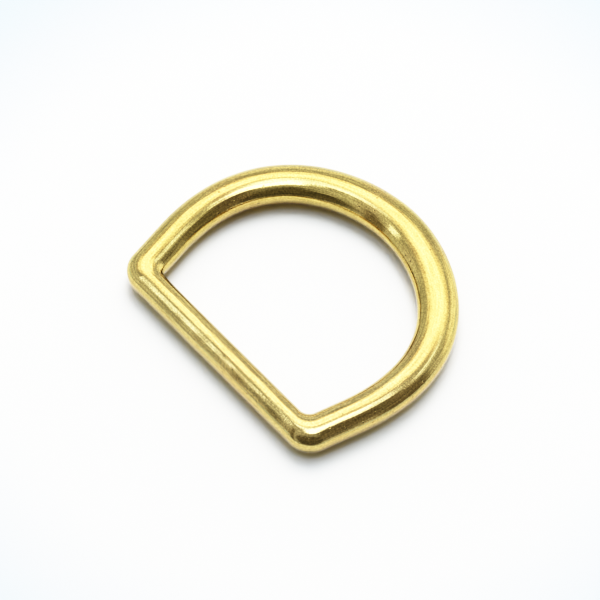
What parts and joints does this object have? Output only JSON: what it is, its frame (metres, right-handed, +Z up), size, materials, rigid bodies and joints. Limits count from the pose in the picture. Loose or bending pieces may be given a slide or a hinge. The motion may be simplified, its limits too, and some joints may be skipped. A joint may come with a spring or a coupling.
{
  "type": "d ring",
  "caption": "Polished solid brass D ring for a 38 mm strap: a straight oval bar, two legs that lean outward and a wide rounded crown, cast in one piece.",
  "frame": {"origin": "middle of the ring's box seen from above, on the face that it lies on", "axes": "+X along the strap bar, +Y from the bar towards the crown, +Z up out of the surface that the ring lies on"},
  "size_m": [0.0574, 0.048, 0.0067],
  "materials": {
    "cast_brass": "cast and polished"
  },
  "bodies": {
    "root": {"d_ring": "cast_brass"}
  },
  "joints": []
}
